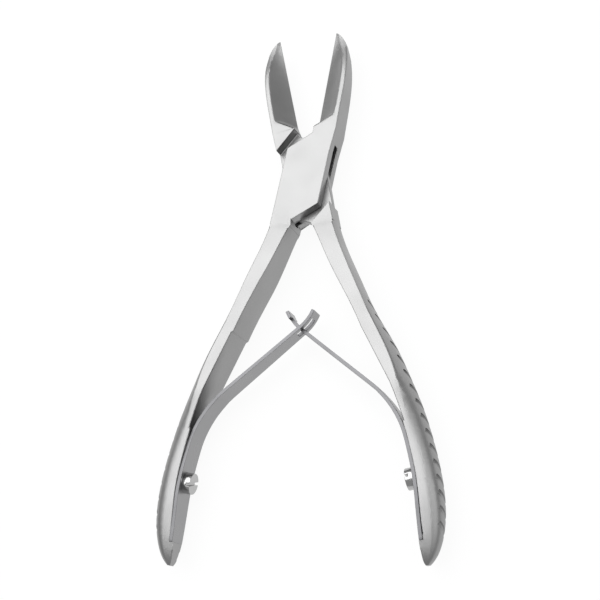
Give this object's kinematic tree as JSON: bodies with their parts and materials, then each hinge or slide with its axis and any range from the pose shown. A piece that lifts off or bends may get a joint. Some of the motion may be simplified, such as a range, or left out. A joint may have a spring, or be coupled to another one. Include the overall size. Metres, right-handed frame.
{
  "type": "bone cutting forceps",
  "caption": "Hand-held bone cutting forceps with hollow-ground blades, a box lock and two interlocked leaf springs that open the handles.",
  "frame": {"origin": "middle of the bounding box of the open instrument, at the plane it lies on", "axes": "+Y towards the blade tips, +Z away from the plane it lies on (front face up), +X to the right with the tongue half's handle on +X"},
  "size_m": [0.07, 0.135, 0.0105],
  "materials": {
    "satin_steel": "satin",
    "spring_steel": "satin",
    "screw_steel": "polished"
  },
  "bodies": {
    "box_body": {"box_half": "satin_steel", "joint_rivet": "satin_steel", "left_spring_foot": "spring_steel", "left_spring_screw": "screw_steel"},
    "tongue_body": {"tongue_half": "satin_steel", "right_spring_foot": "spring_steel", "right_spring_screw": "screw_steel"},
    "left_leaf": {"left_spring_blade": "spring_steel"},
    "right_leaf": {"right_spring_blade": "spring_steel"}
  },
  "joints": [
    {"name": "jaw", "type": "hinge", "parent": "box_body", "child": "tongue_body", "pos_m": [0, 0.02725, 0.00525], "axis": [0, 0, -1], "range_deg": [0, 21.5], "stiffness_Nm_per_rad": 1.5},
    {"name": "left_leaf_flex", "type": "hinge", "parent": "box_body", "child": "left_leaf", "pos_m": [-0.02532, -0.03481, 0.00525], "axis": [0, 0, 1], "range_deg": [0, 14]},
    {"name": "right_leaf_flex", "type": "hinge", "parent": "tongue_body", "child": "right_leaf", "pos_m": [0.02532, -0.03481, 0.00525], "axis": [0, 0, -1], "range_deg": [0, 14]}
  ],
  "couplings": [
    {"joint": "left_leaf_flex", "follows": "jaw", "ratio": 0.6474},
    {"joint": "right_leaf_flex", "follows": "jaw", "ratio": 0.6474}
  ]
}
